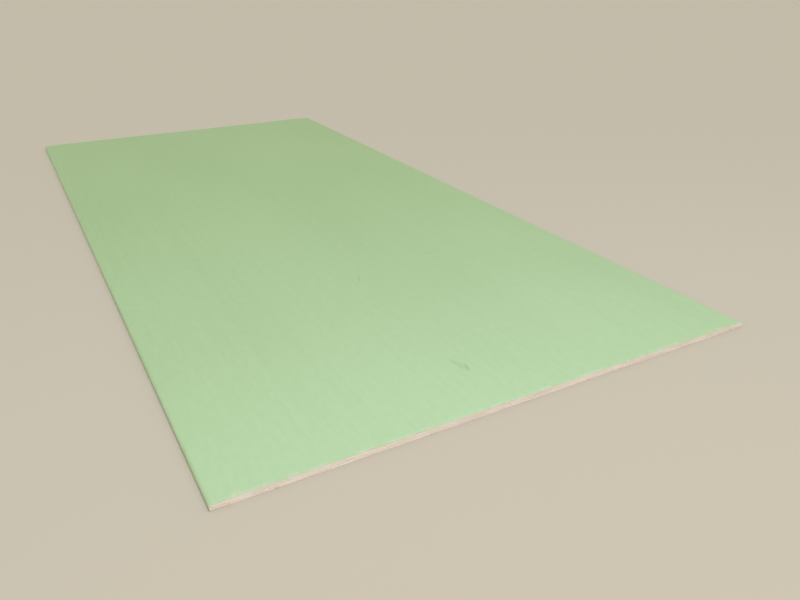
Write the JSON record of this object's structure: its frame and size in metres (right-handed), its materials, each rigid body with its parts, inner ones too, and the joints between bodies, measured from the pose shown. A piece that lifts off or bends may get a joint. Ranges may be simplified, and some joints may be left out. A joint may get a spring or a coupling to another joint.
{
  "type": "drywall sheet",
  "caption": "Moisture-resistant drywall sheet: foamed gypsum core in a mint-green face paper that wraps both tapered half-round long edges, grey-brown back paper, square sawn ends.",
  "frame": {"origin": "middle of the back of the sheet, which lies on the floor", "axes": "+X along the length, square to a sawn end; +Y across the width, towards a bound long edge; +Z out of the green face"},
  "size_m": [2.5, 1.2, 0.0125],
  "materials": {
    "gypsum": "matt, sawn, finely pored",
    "green_face_paper": "matt, smooth, faintly fibrous",
    "grey_back_paper": "matt, slightly rough, recycled fibre"
  },
  "bodies": {
    "root": {"gypsum_core": "gypsum", "face_paper": "green_face_paper", "back_paper": "grey_back_paper"}
  },
  "joints": []
}
